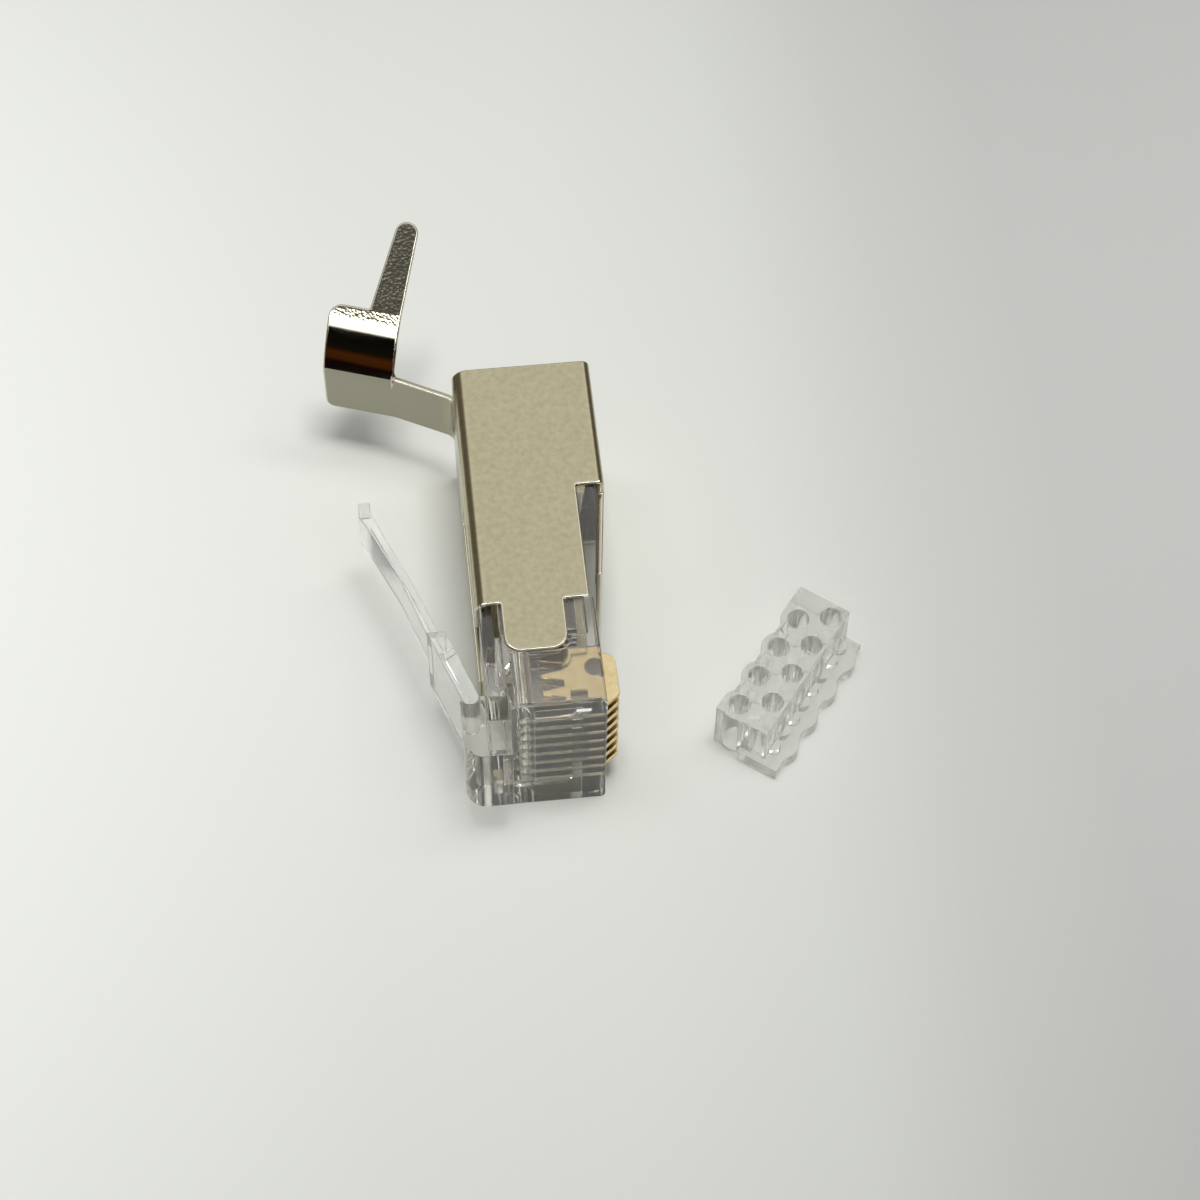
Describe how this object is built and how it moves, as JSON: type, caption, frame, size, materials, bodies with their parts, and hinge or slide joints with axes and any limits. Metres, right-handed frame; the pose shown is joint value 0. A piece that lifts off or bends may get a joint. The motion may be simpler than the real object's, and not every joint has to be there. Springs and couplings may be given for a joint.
{
  "type": "shielded modular plug",
  "caption": "Shielded eight-way modular plug, uncrimped, with a fold-over crimp tail and its loose load bar lying beside it.",
  "frame": {"origin": "middle of the nose's front face, the face that enters the jack first", "axes": "+Y back along the plug to the cable, +X to the side where the contacts show, -X to the latch side, +Z across the plug's width, up from the side face that it lies on"},
  "size_m": [0.0319, 0.0357, 0.0137],
  "materials": {
    "housing_clear": "clear moulded polycarbonate",
    "latch_clear": "clear moulded polycarbonate",
    "load_bar_clear": "clear moulded polycarbonate",
    "contact_gold": "gold plated, bright",
    "shield_nickel": "warm nickel plate, satin on the flats and bright on the curl"
  },
  "bodies": {
    "plug": {"housing": "housing_clear", "shield": "shield_nickel", "load_bar": "load_bar_clear"},
    "latch": {"latch_lever": "latch_clear"},
    "contacts": {"contact_1": "contact_gold", "contact_2": "contact_gold", "contact_3": "contact_gold", "contact_4": "contact_gold", "contact_5": "contact_gold", "contact_6": "contact_gold", "contact_7": "contact_gold", "contact_8": "contact_gold"}
  },
  "joints": [
    {"name": "latch_press", "type": "hinge", "parent": "plug", "child": "latch", "pos_m": [-0.00495, 0.0026, 0], "axis": [0, 0, -1], "range_deg": [0, 18], "stiffness_Nm_per_rad": 0.15},
    {"name": "crimp_press", "type": "slide", "parent": "plug", "child": "contacts", "axis": [-1, 0, 0], "range_m": [0, 0.0014]}
  ]
}
